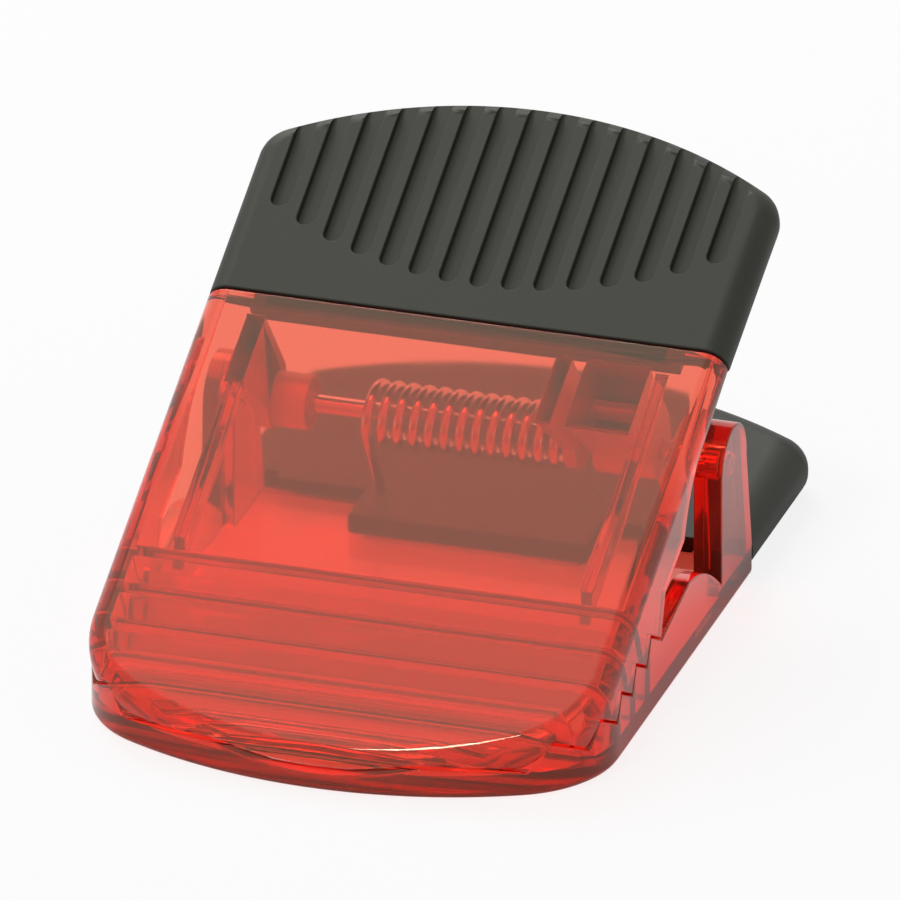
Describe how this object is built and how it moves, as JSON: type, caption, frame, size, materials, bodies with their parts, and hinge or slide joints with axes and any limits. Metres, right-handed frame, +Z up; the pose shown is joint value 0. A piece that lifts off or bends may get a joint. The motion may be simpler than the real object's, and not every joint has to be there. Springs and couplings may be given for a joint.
{
  "type": "magnetic memo clip",
  "caption": "Wide sprung clip with saw-toothed clear jaws, soft grooved grips and a bar magnet underneath, for holding papers on a steel surface.",
  "frame": {"origin": "centre of the magnet's lower face, which lies in the plane that the clip rests on", "axes": "+Z up from the surface that the clip sits on, +Y back to the grips, -Y to the nose of the jaws, X along the hinge pin"},
  "size_m": [0.06, 0.0986, 0.0446],
  "materials": {
    "clear_red_plastic": "clear, glossy, moulded",
    "black_rubber": "matte, soft moulded",
    "pin_steel": "drawn, plain",
    "spring_steel": "bright zinc-plated wire",
    "ferrite": "sintered, matte"
  },
  "bodies": {
    "lower": {"lower_jaw": "clear_red_plastic", "lower_grip": "black_rubber", "hinge_pin": "pin_steel", "magnet": "ferrite", "torsion_spring": "spring_steel"},
    "upper": {"upper_jaw": "clear_red_plastic", "upper_grip": "black_rubber"}
  },
  "joints": [
    {"name": "jaw_hinge", "type": "hinge", "parent": "lower", "child": "upper", "pos_m": [0, -0.002, 0.0166], "axis": [-1, 0, 0], "range_deg": [0, 50], "stiffness_Nm_per_rad": 0.3, "springref_deg": -34.38, "deforming": ["torsion_spring"]}
  ]
}
